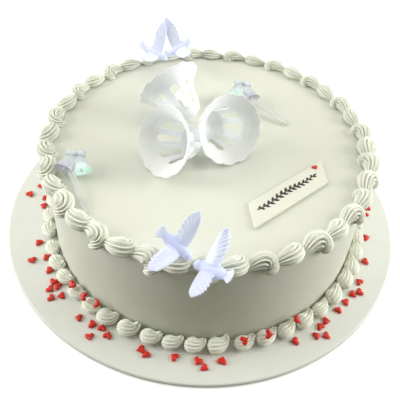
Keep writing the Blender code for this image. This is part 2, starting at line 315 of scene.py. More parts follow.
class Recipe:
    """A material with its Principled shader, and the nodes that feed it."""

    def __init__(self, name, **sockets):
        self.material = bpy.data.materials.new(name)
        self.material.use_nodes = True
        self.tree = self.material.node_tree
        self.shader = self.tree.nodes["Principled BSDF"]
        for socket, value in sockets.items():
            self.shader.inputs[socket.replace("_", " ")].default_value = value

    def connect(self, socket, value):
        """Link a value or a node's output to a socket, or write a constant into it."""
        if isinstance(value, Value):
            self.tree.links.new(value.socket, socket)
        elif isinstance(value, bpy.types.NodeSocket):
            self.tree.links.new(value, socket)
        else:
            socket.default_value = value

    def node(self, kind, settings, *values, **named):
        """Make one node: settings first, then its sockets by order or by name."""
        node = self.tree.nodes.new(kind)
        for setting, value in settings.items():
            setattr(node, setting, value)
        for key, value in list(enumerate(values)) + list(named.items()):
            self.connect(node.inputs[key if isinstance(key, int) else key.replace("_", " ")], value)
        return node

    def place(self):
        """The place on the object, as Object coordinates."""
        return self.node("ShaderNodeTexCoord", {}).outputs["Object"]

    def along_axes(self, vector):
        """The three parts of a vector, as values."""
        parts = self.node("ShaderNodeSeparateXYZ", {}, vector)
        return [Value(self, parts.outputs[axis]) for axis in range(3)]

    def mesh_value(self, name):
        """A number that was stored on the points of the mesh."""
        return Value(self, self.node("ShaderNodeAttribute", {"attribute_name": name}).outputs["Fac"])

    def noise(self, where, scale, detail=2.0, roughness=0.5):
        """Soft random patches: a larger scale makes smaller patches."""
        node = self.node("ShaderNodeTexNoise", {}, Vector=where, Scale=scale, Detail=detail,
                         Roughness=roughness)
        return Value(self, node.outputs["Fac"])

    def blend(self, first, second, mask):
        """A colour between two colours. The mask says how much of the second."""
        mix = self.node("ShaderNodeMix", {"data_type": "RGBA"})
        for number, value in ((MIX_SHARE, mask), (MIX_FIRST, first), (MIX_SECOND, second)):
            self.connect(mix.inputs[number], (*value, 1.0) if isinstance(value, tuple) else value)
        return mix.outputs[MIX_RESULT]

    def feed(self, name, value):
        """Link a value or a colour to one socket of the shader."""
        self.connect(self.shader.inputs[name], value)

    def relief(self, height, depth):
        """Raise and sink the surface by a pattern, up to a depth in metres."""
        bump = self.node("ShaderNodeBump", {}, Strength=1.0, Distance=depth, Height=height)
        self.feed("Normal", bump.outputs["Normal"])


print("helpers ready")

# %% [markdown]
# ## Cream, smooth and piped
#
# Whipped cream is a soft ivory with a slight green-grey cast, a little light
# under its skin and a low shine. Seen close it is not quite even: it has very
# small pores, and broad patches that are a shade more yellow. Smoothed cream
# also keeps faint marks of the scraper, which runs round the wall. A painted
# picture of cream would show a seam, so noise on the place makes all of this,
# and the scraper's marks are the same noise, stretched along the wall. The piped
# cream is given a lighter colour than the smooth: its own ivory with a painted
# highlight that whitens the shells.

# %% Mix the two creams
CREAM_PALE = (0.765, 0.777, 0.690)
CREAM_DEEP = (0.730, 0.743, 0.640)
# The same cream for the piping, made lighter: a painted highlight that whitens the shells
PIPED_PALE_LIT = (0.880, 0.890, 0.805)
PIPED_DEEP_LIT = (0.845, 0.858, 0.755)
CREAM_PATCHES = 22.0
CREAM_PORES = 2600.0
CREAM_RELIEF = 0.0004
# How fine the scraper's marks are round the wall and up it
SCRAPER_ROUND = 4.0
SCRAPER_UP = 260.0


def mix_cream(name, pale, deep, scraper, pore):
    """Cream with broad patches, fine pores and, on the wall, scraper marks."""
    cream = Recipe(name, Roughness=0.46, IOR=1.42, Subsurface_Weight=0.06,
                   Subsurface_Scale=0.004, Subsurface_Radius=(1.0, 0.9, 0.6))
    where = cream.place()
    patches = cream.noise(where, CREAM_PATCHES, 3.0)
    cream.feed("Base Color", cream.blend(pale, deep, (patches * 1.6 - 0.3).limit()))
    cream.feed("Roughness", 0.40 + 0.14 * cream.noise(where, 60.0, 2.0))
    height = cream.noise(where, CREAM_PORES, 2.0, 0.6) * pore
    if scraper:
        x, y, z = cream.along_axes(where)
        rows = cream.node("ShaderNodeCombineXYZ", {}, x * SCRAPER_ROUND, y * SCRAPER_ROUND,
                          z * SCRAPER_UP).outputs[0]
        height = height + cream.noise(rows, 1.0, 3.0) * scraper
    cream.relief(height, CREAM_RELIEF)
    return cream.material


smooth_cream = mix_cream("smooth cream", CREAM_PALE, CREAM_DEEP, scraper=0.30, pore=0.10)
# The piped cream: the cream's own ivory, partly a painted highlight
piped_cream = mix_cream("piped cream", PIPED_PALE_LIT, PIPED_DEEP_LIT, scraper=0.0, pore=0.14)
print("creams:", smooth_cream.name, "and", piped_cream.name)

# %% [markdown]
# ## The board
#
# The board is a thick white card disc with a coating that keeps fat out. It could
# be spun from its outline, but a cylinder with its two rims broken by a bevel is
# the same shape in fewer steps. The coating is smooth and satin, with the faint
# mottle of card under it.

# %% Mix the board's coating
COATING_PALE = (0.80, 0.815, 0.765)
COATING_DEEP = (0.74, 0.765, 0.705)
CARD_RELIEF = 0.00006


def coat_board():
    """White coated card: nearly even, satin, with a faint mottle."""
    coat = Recipe("white coated card", Roughness=0.34, IOR=1.45)
    where = coat.place()
    coat.feed("Base Color", coat.blend(COATING_PALE, COATING_DEEP, coat.noise(where, 55.0, 3.0)))
    coat.feed("Roughness", 0.28 + 0.16 * coat.noise(where, 18.0, 2.0))
    coat.relief(coat.noise(where, 900.0, 2.0), CARD_RELIEF)
    return coat.material


# %% Cut the board
BOARD_RIM = 0.0018
ROUND_SIDES = 192
board = new_primitive("round_board", bpy.ops.mesh.primitive_cylinder_add, vertices=ROUND_SIDES,
                      radius=BOARD_RADIUS, depth=board_high.z - board_low.z, end_fill_type="NGON",
                      location=(0.0, 0.0, (board_low.z + board_high.z) / 2))
bpy.ops.object.transform_apply(location=True)
apply_modifier(board, "BEVEL", width=BOARD_RIM, segments=4, limit_method="ANGLE")
smooth(board)
hand_over(board, "board", coat_board(), "cake_board")

# %% [markdown]
# ## The cake in smooth cream
#
# Under the cream is sponge that can't be seen, so the cake is one closed form: a
# cylinder whose upper edge is rounded by the scraper. A spatula leaves the top
# and the wall very slightly uneven. This could be sculpted, but a formula gives
# the same cake each time, so the wall is cut into rings by bisecting and the top
# into rings by insets, and then each point moves by a fraction of a millimetre.

# %% Cut the cake's form
CAKE_EDGE = 0.004
WALL_RINGS = 12
TOP_RINGS = 10
cake = new_primitive("smooth_cake", bpy.ops.mesh.primitive_cylinder_add, vertices=ROUND_SIDES,
                     radius=CAKE_RADIUS, depth=CAKE_TOP - cake_low.z, end_fill_type="NGON",
                     location=(0.0, 0.0, (CAKE_TOP + cake_low.z) / 2))
bpy.ops.object.transform_apply(location=True)
for ring in range(1, WALL_RINGS):
    height = cake_low.z + (CAKE_TOP - cake_low.z) * ring / WALL_RINGS
    edit_where(cake, "FACE", lambda centre, normal: True,
               (bpy.ops.mesh.bisect, dict(plane_co=(0, 0, height), plane_no=(0, 0, 1))))
edit_where(cake, "EDGE", lambda a, b: min(a.z, b.z) > CAKE_TOP - 0.0001,
           (bpy.ops.mesh.bevel, dict(offset=CAKE_EDGE, segments=8, affect="EDGES")))
inset = (CAKE_RADIUS - CAKE_EDGE) / (TOP_RINGS + 1)
for ring in range(TOP_RINGS):
    edit_where(cake, "FACE", lambda centre, normal: normal.z > 0.99 and centre.xy.length < 0.001,
               (bpy.ops.mesh.inset, dict(thickness=inset)))
cake.data.update()
print("cake cut into", len(cake.data.polygons), "faces")

# %% Smooth it as a spatula does
UNEVEN = 0.00035


def spatula_wave(point):
    """The slight unevenness of hand-smoothed cream at a point, from -1 to 1."""
    turn = math.atan2(point.y, point.x)
    reach = math.hypot(point.x, point.y) / CAKE_RADIUS
    wall = math.sin(3 * turn + 40 * point.z) + 0.6 * math.sin(7 * turn - 25 * point.z + 1.0)
    top = math.sin(9 * reach + 2 * turn) + 0.7 * math.sin(5 * reach - 3 * turn + 2.0)
    share = min(1.0, max(0.0, (reach - 0.9) / 0.1))
    return (wall * share + top * (1.0 - share)) / 1.7


for vertex in cake.data.vertices:
    if vertex.co.z > cake_low.z + 0.001:
        out = Vector((vertex.co.x, vertex.co.y, 0.0)) / CAKE_RADIUS
        lift = max(0.0, 1.0 - (CAKE_TOP - vertex.co.z) / CAKE_EDGE)
        push = UNEVEN * spatula_wave(vertex.co)
        vertex.co += out * push * (1.0 - lift) + Vector((0.0, 0.0, push * lift))
set_in_place(cake, Matrix.Translation(CAKE_CENTRE))
smooth(cake, 60)
hand_over(cake, "cream", smooth_cream, "cake")

# %% [markdown]
# ## Piped shells
#
# A shell is a rope of cream from a star nozzle. The baker starts it in a small
# curl, lets it swell, and draws it out to a thin tail that the next shell
# covers. In a reverse border the curls lie outward and inward in turn.
#
# The rope is modelled once as a ball with its poles at the two ends, which keeps
# it closed. Each shell is a copy, whose points are then laid round a path: a
# smooth line through a few places, each with the rope's thickness there. The
# nozzle's teeth give the ribs. Sweeping a curve would do the same, but the
# ribs' depth couldn't change along it, and here they run out towards the tail.

# %% Draw a smooth line through a few places
NEARBY = 0.01


def on_smooth_line(stations, share):
    """A point on a smooth line through stations, each a tuple of numbers."""
    last = len(stations) - 1
    spot = min(max(share, 0.0), 1.0) * last
    first = min(int(spot), last - 1)
    part = spot - first
    before = stations[max(first - 1, 0)]
    after = stations[min(first + 2, last)]
    result = []
    for p0, p1, p2, p3 in zip(before, stations[first], stations[first + 1], after):
        slope_1 = (p2 - p0) / 2
        slope_2 = (p3 - p1) / 2
        rise = p2 - p1
        bend_2 = 3 * rise - 2 * slope_1 - slope_2
        bend_3 = slope_1 + slope_2 - 2 * rise
        result.append(p1 + part * (slope_1 + part * (bend_2 + part * bend_3)))
    return result


def path_frame(path, share):
    """The place, thickness and axes of a path at a share of the way along it."""
    here = on_smooth_line(path, share)
    ahead = on_smooth_line(path, min(share + NEARBY, 1.0))
    behind = on_smooth_line(path, max(share - NEARBY, 0.0))
    run = (Vector(ahead[:3]) - Vector(behind[:3])).normalized()
    side = run.cross(Vector((0.0, 0.0, 1.0))).normalized()
    return Vector(here[:3]), here[3], run, side, side.cross(run)


print("half way on a line of two places:", on_smooth_line([(0.0, 2.0), (1.0, 4.0)], 0.5))

# %% Write the rope of cream
# A rope's two ends close as a ball does, the first more bluntly than the last
BLUNT_START = 3.6
BLUNT_END = 2.2
# Where the rope is thinner than this, in mm, its grooves are shallower
THIN_ROPE = 2.5
# Over the first part of the rope the grooves are deeper, and the ribs are torn
DEEPER_PART = 0.20
DEEPER_BY = 0.4
TORN_PART = 0.25


def nozzle_crest(angle, teeth):
    """How near an angle is to a rib: 1 on its crest, 0 at the bottom of a groove."""
    return abs(math.sin(angle * teeth / 2))


def pole_share(ball):
    """How far a point of a ball of radius one is from its upper pole to its lower."""
    return math.acos(max(-1.0, min(1.0, ball.z))) / math.pi


def lay_rope(rope, path, teeth, depth, soften, squash, frill, rng):
    """Copy the rope and lay it along a path of (along, out, up, thickness) in mm.

    Depth is the grooves' depth as a share of the thickness, and soften is how fast
    they run out towards the path's end. Frill is how far the ribs stand past the
    cream at the path's start, where the nozzle's teeth let go.
    """
    shell = own_copy(rope)
    twist = rng.uniform(-0.5, 0.5)
    swell = [rng.uniform(0.80, 1.15) for _ in range(teeth)]
    torn = [rng.uniform(0.0, 1.0) for _ in range(teeth)]
    frames = {}
    for vertex in shell.data.vertices:
        ball = vertex.co
        share = round(pole_share(ball), 4)
        if share not in frames:
            frames[share] = path_frame(path, share)
        place, thick, run, side, over = frames[share]
        angle = math.atan2(ball.y, ball.x)
        tooth = int((angle / (2 * math.pi) % 1.0) * teeth) % teeth
        crest = nozzle_crest(angle, teeth)
        ring = min(1.0, math.sin(share * math.pi) * (BLUNT_START if share < 0.5 else BLUNT_END))
        groove = depth * swell[tooth] * (1.0 - share) ** soften * min(1.0, thick / THIN_ROPE)
        groove *= 1.0 + DEEPER_BY * max(0.0, 1.0 - share / DEEPER_PART)
        reach = thick * ring * (1.0 - groove * (1.0 - crest) ** 1.1)
        pull = frill * torn[tooth] * crest * max(0.0, 1.0 - share / TORN_PART)
        turned = angle + twist * share
        vertex.co = place + side * math.cos(turned) * reach + over * math.sin(turned) * reach * squash
        vertex.co -= run * pull
    return shell


def make_ball(name, around, along, radius=1.0):
    """A ball with its poles at its top and its foot, which many pieces start from."""
    return new_primitive(name, bpy.ops.mesh.primitive_uv_sphere_add, segments=around,
                         ring_count=along, radius=radius)


print("on a rib and in a groove:", nozzle_crest(math.pi / 12, 12), nozzle_crest(0.0, 12))


# %% [markdown]
# ## The border round the top edge
#
# Forty shells make the ring. Seen from in front their tails point left and their
# heads right. Every second head curls outward and hangs a little over the edge,
# and the others curl inward and lie on the top. Behind, the shells are smaller.
# An array of one shell would look stamped, so each has its own turn, size and
# ribs from a seeded random draw, which gives the same border each time.

# %% Shape one shell's path and set shells in a ring
# Each station is along, sideways, height and half thickness, in millimetres
CURL = [(4.6, 5.2, 0.6, 2.4), (6.9, 4.6, 1.6, 4.9), (8.2, 2.7, 3.1, 6.3), (7.0, 0.4, 4.4, 7.1),
        (3.4, -1.1, 5.1, 7.4), (-0.8, -1.2, 4.6, 6.3), (-4.9, -0.6, 3.3, 4.6), (-9.0, 0.0, 1.8, 2.9),
        (-14.5, 0.0, 0.6, 1.6)]
CURL_REACH = 7.0
SHELL_CREASE = 75


def shell_path(stations, side, droop, scale):
    """One shell's path: its curl to one side, and its outer part drooping."""
    path = []
    for along, out, up, thick in stations:
        sag = droop * max(0.0, out) / CURL_REACH if side > 0 else 0.0
        path.append((along * scale ** 0.3, out * side * scale, up * scale - sag, thick * scale))
    return path


def pipe_ring(name, rope, count, ring, base, build):
    """Set shells round the cake, each built by a function of its number."""
    shells = []
    for number in range(count):
        shell, angle, turn = build(rope, number)
        place = Vector((math.cos(angle) * ring, math.sin(angle) * ring, base)) + CAKE_CENTRE
        axes = Matrix.Rotation(angle + math.pi / 2 + turn, 4, "Z") @ Matrix.Scale(-1.0, 4, (0, 1, 0))
        set_in_place(shell, Matrix.Translation(place) @ axes @ Matrix.Scale(MM, 4))
        shells.append(shell)
    bpy.data.objects.remove(rope)
    border = join_pieces(name, shells)
    face_outwards(border)
    smooth(border, SHELL_CREASE)
    return border


print("a curl's length in mm:", round(CURL[0][0] - CURL[-1][0], 1))

# %% Pipe the top border
TOP_SHELLS = 40
TOP_RING = 0.1303
TOP_TEETH = 12
TOP_GROOVE = 0.56
TOP_SOFTEN = 0.0
TOP_SQUASH = 0.92
TOP_FRILL = 3.6
OVERHANG = 3.2
BACK_SMALLER = 0.24
top_rng = random.Random(5)


def top_shell(rope, number):
    """One shell of the top border, with its own small faults."""
    side = 1.0 if number % 2 == 0 else -1.0
    angle = 2 * math.pi * (number + top_rng.uniform(-0.07, 0.07)) / TOP_SHELLS
    scale = top_rng.uniform(0.94, 1.06) * (1.0 - BACK_SMALLER * max(0.0, math.sin(angle)))
    path = shell_path(CURL, side, OVERHANG, scale)
    shell = lay_rope(rope, path, TOP_TEETH, TOP_GROOVE, TOP_SOFTEN, TOP_SQUASH, TOP_FRILL, top_rng)
    return shell, angle, math.radians(top_rng.uniform(-5, 5))


top_border = pipe_ring("piped_top_border", make_ball("top_rope", 84, 28), TOP_SHELLS, TOP_RING,
                       CAKE_TOP, top_shell)
hand_over(top_border, "piped_cream", piped_cream, "top_border")

# %% [markdown]
# ## The border round the foot
#
# The lower shells are smaller and plumper: one short push of the nozzle each.
# The cream bulges smooth to the left, where the next shell has hidden the ribs,
# and at the upper right by the wall the nozzle's teeth have let go in small torn
# peaks. They could be balls with grooves, but the rope of the upper border,
# laid along a short steep path, gives the push and the peaks in one go.

# %% Pipe the foot border
FOOT_SHELLS = 48
FOOT_RING = 0.1393
FOOT_TEETH = 12
FOOT_GROOVE = 0.56
FOOT_SOFTEN = 0.9
FOOT_SQUASH = 0.98
FOOT_FRILL = 4.0
DAB = [(7.2, -3.0, 9.8, 1.2), (6.7, -2.6, 8.8, 2.7), (5.0, -1.3, 7.1, 4.7), (2.0, 0.0, 5.8, 6.2),
       (-1.2, 0.5, 5.4, 6.7), (-4.2, 0.5, 5.0, 6.0), (-6.5, 0.3, 4.4, 4.2), (-7.8, 0.1, 3.9, 1.6)]
foot_rng = random.Random(11)


def foot_shell(rope, number):
    """One plump shell of the foot border."""
    scale = foot_rng.uniform(0.84, 1.04)
    path = shell_path(DAB, 1.0, 0.0, scale)
    shell = lay_rope(rope, path, FOOT_TEETH, FOOT_GROOVE, FOOT_SOFTEN, FOOT_SQUASH, FOOT_FRILL, foot_rng)
    angle = 2 * math.pi * (number + foot_rng.uniform(-0.09, 0.09)) / FOOT_SHELLS
    return shell, angle, math.radians(foot_rng.uniform(-7, 7))


foot_border = pipe_ring("piped_foot_border", make_ball("foot_rope", 60, 22), FOOT_SHELLS, FOOT_RING,
                        BOARD_TOP, foot_shell)
hand_over(foot_border, "piped_cream", piped_cream, "base_border")

# %% [markdown]
# ## The doves
#
# Each dove is moulded in one piece of white plastic with a cool lilac cast. Its
# body is a ball drawn out along the line from beak to rump. A wing is a grid
# whose columns become feathers: each runs from the wing's front edge to its
# outline behind, rounded at its end, and rises to a ridge along its middle.
# The feathers could be modelled one by one, but in one grid they stay one piece
# of plastic, as they are. The tail is a smaller fan made by the same rule. One
# dove is modelled, and four copies are set where the model has them.

# %% Lay out a wing and the tail
WING_SPAN = 31.0
WING_LIFT = math.radians(32)
WING_CHORD = 12.5
WING_FEATHERS = 10
WING_SCALLOP = 0.11
FEATHER_HEIGHT = 0.36
# The ridges begin this far down the feathers, which leaves the shoulder smooth
RIDGE_START = 0.3
WING_CAMBER = 1.3
WING_HEIGHT = 1.5
TAIL_FEATHERS = 6
TAIL_FAN = math.radians(34)
TAIL_ROOT = (-6.0, 0.0, 0.8)
# How far behind its root the tail begins, its length, its scallops and its rise
TAIL_START = 2.0
TAIL_LENGTH = 7.6
TAIL_SCALLOP = 0.7
TAIL_RISE = 1.4


def feather_ridge(share, feathers):
    """The height of the ridge along each feather: 1 in its middle, 0 between two."""
    return abs(math.sin(math.pi * share * feathers))


def wing_edges(out):
    """How far forward the wing's front and rear edge are at a share of its span."""
    front = 7.5 - 10.0 * out ** 2
    return front, front - WING_CHORD * (0.80 + 0.55 * out - 1.18 * out ** 3)


def wing_point(across, along, side):
    """A point of the wing: across counts the feathers, along runs down a feather."""
    root_out = 0.86 * across ** 1.1
    end_out = 1.0 - 0.95 * (1.0 - across) ** 1.9
    front = Vector((wing_edges(root_out)[0], WING_SPAN * root_out))
    end = Vector((wing_edges(end_out)[1], WING_SPAN * end_out))
    crest = feather_ridge(across, WING_FEATHERS)
    spot = front + (end - front) * along * (1.0 + WING_SCALLOP * (crest - 0.7))
    lift = WING_LIFT * (0.6 + 0.4 * min(1.0, spot.y / WING_SPAN))
    camber = WING_CAMBER * math.sin(math.pi * min(1.0, along * 1.1)) ** 0.8
    ridge = FEATHER_HEIGHT * crest * max(0.0, (along - RIDGE_START) / (1.0 - RIDGE_START))
    height = WING_HEIGHT + spot.y * math.sin(lift) + camber + ridge * min(1.0, 0.25 + across)
    return Vector((spot.x, side * spot.y * math.cos(lift), height))


def tail_point(across, along):
    """A point of the tail, fanned out behind the rump."""
    angle = TAIL_FAN * (2 * across - 1)
    crest = feather_ridge(across, TAIL_FEATHERS)
    reach = TAIL_START + (TAIL_LENGTH + TAIL_SCALLOP * crest) * along
    ridge = FEATHER_HEIGHT * 0.8 * crest * along
    fan = Vector((-reach * math.cos(angle), reach * math.sin(angle) * 0.95, TAIL_RISE * along + ridge))
    return Vector(TAIL_ROOT) + fan


print("wing tip in mm:", [round(c, 1) for c in wing_point(1.0, 1.0, 1.0)])

# %% Model one dove
DOVE_SIZE = 0.95
FEATHER_THICKNESS = 1.1
EYE_RADIUS = 0.5
EYE_PLACE = (12.8, 2.95, 3.6)
# Along the dove from beak to rump: place, height, half width, half height in mm
DOVE_LINE = [(16.6, 1.3, 0.15, 0.15), (15.6, 1.7, 0.8, 0.8), (14.6, 2.2, 1.5, 1.5),
             (13.0, 2.7, 3.2, 3.1), (10.9, 2.6, 3.7, 3.5), (8.4, 1.6, 3.9, 3.4), (5.4, 0.4, 5.3, 4.5),
             (1.5, -0.2, 6.0, 4.8), (-3.0, -0.2, 5.5, 4.0), (-7.0, 0.2, 4.2, 2.7), (-10.0, 0.8, 2.9, 1.5),
             (-12.0, 1.2, 1.4, 0.7)]


def feathered_sheet(name, columns, rows, rule):
    """A grid laid out by a rule of two shares, and given the thickness of plastic."""
    sheet = new_primitive(name, bpy.ops.mesh.primitive_grid_add, x_subdivisions=columns,
                          y_subdivisions=rows, size=2.0)
    reshape(sheet, lambda p: rule((p.x + 1.0) / 2, (p.y + 1.0) / 2))
    apply_modifier(sheet, "SOLIDIFY", thickness=FEATHER_THICKNESS, offset=0.0)
    face_outwards(sheet)
    return sheet


def dove_body(name):
    """The dove from beak to rump: a ball whose rings follow the dove's line."""
    body = make_ball(name, 28, 36)

    def rule(ball):
        share = pole_share(ball)
        along, up, wide, high = on_smooth_line(DOVE_LINE, share)
        angle = math.atan2(ball.y, ball.x)
        ring = min(1.0, math.sin(share * math.pi) * 5.0)
        return Vector((along, math.sin(angle) * wide * ring, up + math.cos(angle) * high * ring))

    reshape(body, rule)
    face_outwards(body)
    return body


def make_dove():
    """One dove from body, two wings, tail and two eyes, along +X, in metres."""
    pieces = [dove_body("dove_body")]
    along, out, up = EYE_PLACE
    for side in (-1.0, 1.0):
        pieces.append(feathered_sheet("dove_wing", 60, 12, lambda a, b: wing_point(a, b, side)))
        eye = make_ball("dove_eye", 10, 6, EYE_RADIUS)
        set_in_place(eye, Matrix.Translation((along, side * out, up)))
        pieces.append(eye)
    pieces.append(feathered_sheet("dove_tail", 36, 8, tail_point))
    dove = join_pieces("dove", pieces)
    set_in_place(dove, Matrix.Scale(MM * DOVE_SIZE, 4))
    smooth(dove, 50)
    return dove


master_dove = make_dove()
print("dove:", len(master_dove.data.polygons), "faces, span", round(master_dove.dimensions.y, 4))

# %% [markdown]
# ## White plastic, and the four doves
#
# Moulded white plastic lets light some way in, which softens its shades. It also
# has a faint blue painted glow, which brightens its shaded sides as no lamp
# does. Plain white with no light inside would look like chalk. The doves are set
# in pairs that face each other.

# %% Mould the plastic and set the doves
# The colour of the painted glow, which lightens the plastic's shaded sides
PAINTED_GLOW_BLUE = (0.76, 0.82, 1.0, 1.0)


def mould_white_plastic(name, pale, shade, glow, grain):
    """Moulded plastic that light passes through, with a faint blue painted glow that lightens its shade."""
    plastic = Recipe(name, Roughness=0.36, IOR=1.5, Subsurface_Weight=0.75, Subsurface_Scale=0.005,
                     Subsurface_Radius=(0.8, 0.9, 1.0), Emission_Color=PAINTED_GLOW_BLUE, Emission_Strength=glow)
    where = plastic.place()
    plastic.feed("Base Color", plastic.blend(pale, shade, plastic.noise(where, 70.0, 2.0)))
    plastic.feed("Roughness", 0.30 + 0.16 * plastic.noise(where, 140.0, 2.0))
    plastic.relief(plastic.noise(where, 1500.0, 2.0), grain)
    return plastic.material


LILAC_PALE = (0.66, 0.70, 0.93)
LILAC_DEEP = (0.58, 0.62, 0.89)
# The doves get a painted glow that brightens their shaded sides
dove_plastic = mould_white_plastic("lilac white plastic", LILAC_PALE, LILAC_DEEP, glow=0.18, grain=0.00004)
# Each dove's place, and its turns about X, Y and Z in degrees
DOVES = {
    "front_left": ((-0.0155, -0.1275, 0.1060), (29, 31, -25)),
    "front_right": ((0.0110, -0.1460, 0.1038), (-21, 14, 149)),
    "back_left": ((-0.0550, 0.1050, 0.1030), (16, 20, -14)),
    "back_right": ((-0.0295, 0.1120, 0.1065), (-18, 34, -160)),
}
for name, (place, turn) in DOVES.items():
    dove = own_copy(master_dove)
    dove.name = "white_dove_" + name
    turned = Euler([math.radians(a) for a in turn], "XYZ").to_matrix().to_4x4()
    set_in_place(dove, Matrix.Translation(place) @ turned)
    hand_over(dove, "dove_plastic", dove_plastic, "dove_" + name)
bpy.data.objects.remove(master_dove)

# %% [markdown]
# ## The bells
#
# The three bells are thin openwork plastic. The rim flares and is scalloped, and
# fine flutes run up from it. The waist is pierced by eight long windows, plain and
# wavy in turn, and bars stand between them. Cutting the windows out of a finished
# bell with booleans leaves ragged faces. So a cylinder is cut into rings by
# bisecting, the windows' faces are deleted, and only then is the sheet drawn into
# the bell's profile, where the columns beside a window bend round its outline.
# Solidify gives the wall.

# %% Lay out the bell and its windows
BELL_WINDOWS = 8
BELL_SCALLOPS = 14
BELL_FLUTES = 48
# The profile from rim to crown: half width and height in mm
BELL_LINE = [(28.0, 0.0), (25.4, 2.0), (21.6, 5.2), (18.6, 9.4), (16.7, 13.8), (15.4, 18.2), (14.7, 22.4),
             (14.0, 26.2), (12.2, 30.2), (8.6, 33.6), (4.4, 35.2)]
# Where the windows begin and end, as shares of the profile
WINDOW_LOW = 0.31
WINDOW_HIGH = 0.80
WINDOW_WIDTH = 0.64
# The share of the sheet's columns that is cut out for a window
CUT_SHARE = 0.5
# Between these shares of the profile the columns bend round the windows
BEND_START = 0.10
BEND_END = 0.96
BEND_OVER = 0.10
# How far up the profile the scalloped rim and the flutes reach
RIM_REACH = 0.10
FLUTE_REACH = 0.26
FLUTE_DEPTH = 0.26
# The two beads round the bell: their places, height in mm and width
BEAD_PLACES = (0.235, 0.84)
BEAD_HEIGHT = 0.45
BEAD_WIDTH = 0.02


def window_opening(share, wave):
    """How wide a window is at a ring, as a share of its widest. Three lobes make it wavy."""
    part = (share - WINDOW_LOW) / (WINDOW_HIGH - WINDOW_LOW)
    if not 0.0 <= part <= 1.0:
        return 0.55
    return 0.88 - wave * math.cos(6 * math.pi * part) - 0.34 * abs(2 * part - 1.0) ** 7


def bent_turn(turn, share):
    """Where a column of the sheet goes, so that it bends round the window beside it."""
    period = 2 * math.pi / BELL_WINDOWS
    number = math.floor(turn / period)
    spot = (turn / period) % 1.0 - 0.5
    nearness = min(1.0, max(0.0, (share - BEND_START) / BEND_OVER))
    nearness *= min(1.0, max(0.0, (BEND_END - share) / BEND_OVER))
    opening = window_opening(share, 0.06) if number % 2 == 0 else 0.72 * window_opening(share, 0.20)
    edge = CUT_SHARE / 2 + nearness * (WINDOW_WIDTH / 2 * opening - CUT_SHARE / 2)
    if abs(spot) < CUT_SHARE / 2:
        bent = spot * edge / (CUT_SHARE / 2)
    else:
        part = (abs(spot) - CUT_SHARE / 2) / (0.5 - CUT_SHARE / 2)
        bent = math.copysign(edge + (0.5 - edge) * part, spot)
    return (number + 0.5 + bent) * period


def bell_point(turn, share):
    """A point of the bell: the turn round it, and the share from rim to crown."""
    wide, high = on_smooth_line(BELL_LINE, share)
    angle = bent_turn(turn, share)
    rim = max(0.0, 1.0 - share / RIM_REACH)
    scallop = abs(math.cos(BELL_SCALLOPS * angle / 2))
    flute = math.cos(BELL_FLUTES * angle) * FLUTE_DEPTH * max(0.0, 1.0 - share / FLUTE_REACH)
    bead = sum(BEAD_HEIGHT * math.exp(-((share - place) / BEAD_WIDTH) ** 2) for place in BEAD_PLACES)
    wide += flute + bead + rim * (scallop * 1.1 - 0.7)
    high += rim * (0.5 - 0.9 * scallop)
    return Vector((wide * math.cos(angle), wide * math.sin(angle), high))


# %% Model one openwork bell
BELL_COLUMNS = 144
BELL_RINGS = 44
BELL_WALL = 0.0009
# The ring that closes the crown is this much narrower, and this much higher in mm
CROWN_NARROWER = 0.75
CROWN_HIGHER = 0.8


def make_bell():
    """One bell with its mouth at the origin, facing down, and its crown at +Z."""
    bell = new_primitive("bell", bpy.ops.mesh.primitive_cylinder_add, vertices=BELL_COLUMNS, radius=1.0,
                         depth=1.0, end_fill_type="NOTHING", location=(0.0, 0.0, 0.5))
    bpy.ops.object.transform_apply(location=True)
    for ring in range(1, BELL_RINGS):
        edit_where(bell, "FACE", lambda centre, normal: True,
                   (bpy.ops.mesh.bisect, dict(plane_co=(0, 0, ring / BELL_RINGS), plane_no=(0, 0, 1))))

    def in_window(centre, normal):
        turn = math.atan2(centre.y, centre.x) % (2 * math.pi)
        spot = (turn * BELL_WINDOWS / (2 * math.pi)) % 1.0 - 0.5
        return WINDOW_LOW <= centre.z <= WINDOW_HIGH and abs(spot) < CUT_SHARE / 2

    cut = edit_where(bell, "FACE", in_window, (bpy.ops.mesh.delete, dict(type="FACE")))
    print("window faces cut:", cut)
    edit_where(bell, "EDGE", lambda a, b: min(a.z, b.z) > 0.9999,
               (bpy.ops.mesh.extrude_edges_move, dict(TRANSFORM_OT_translate={"value": (0, 0, 0.02)})),
               (bpy.ops.mesh.edge_face_add, {}))

    def rule(p):
        turn = math.atan2(p.y, p.x) % (2 * math.pi)
        spot = bell_point(turn, min(p.z, 1.0))
        if p.z > 1.01:
            return Vector((spot.x * CROWN_NARROWER, spot.y * CROWN_NARROWER, spot.z + CROWN_HIGHER))
        return spot

    reshape(bell, rule)
    face_outwards(bell)
    set_in_place(bell, Matrix.Scale(MM, 4))
    apply_modifier(bell, "SOLIDIFY", thickness=BELL_WALL, offset=-1.0)
    smooth(bell, 45)
    return bell


master_bell = make_bell()
print("bell:", len(master_bell.data.polygons), "faces")

# %% [markdown]
# ## The bells' places
#
# The three bells lie on their sides with their crowns together and their mouths
# turned up a little. A bell's height follows from its tilt: the lowest point of
# its plain outline, turned by that tilt, comes to lie just above the cream.
# Setting them by eye would leave one of them floating or sunk.

# %% Lay the three bells on the cream
BELL_PALE = (0.88, 0.905, 0.95)
BELL_DEEP = (0.84, 0.87, 0.92)
# The bells get only a trace of the same painted glow
bell_plastic = mould_white_plastic("clean white plastic", BELL_PALE, BELL_DEEP, glow=0.02, grain=0.00003)
BELL_RIM = 0.028
BELL_HEIGHT = 0.036
BELL_CLEARANCE = 0.0008
# The plain outline from crown to rim, as shares of the rim's radius and the height
BELL_OUTLINE = [(0.0, 1.0), (0.26, 0.96), (0.50, 0.74), (0.60, 0.36), (1.0, 0.0)]
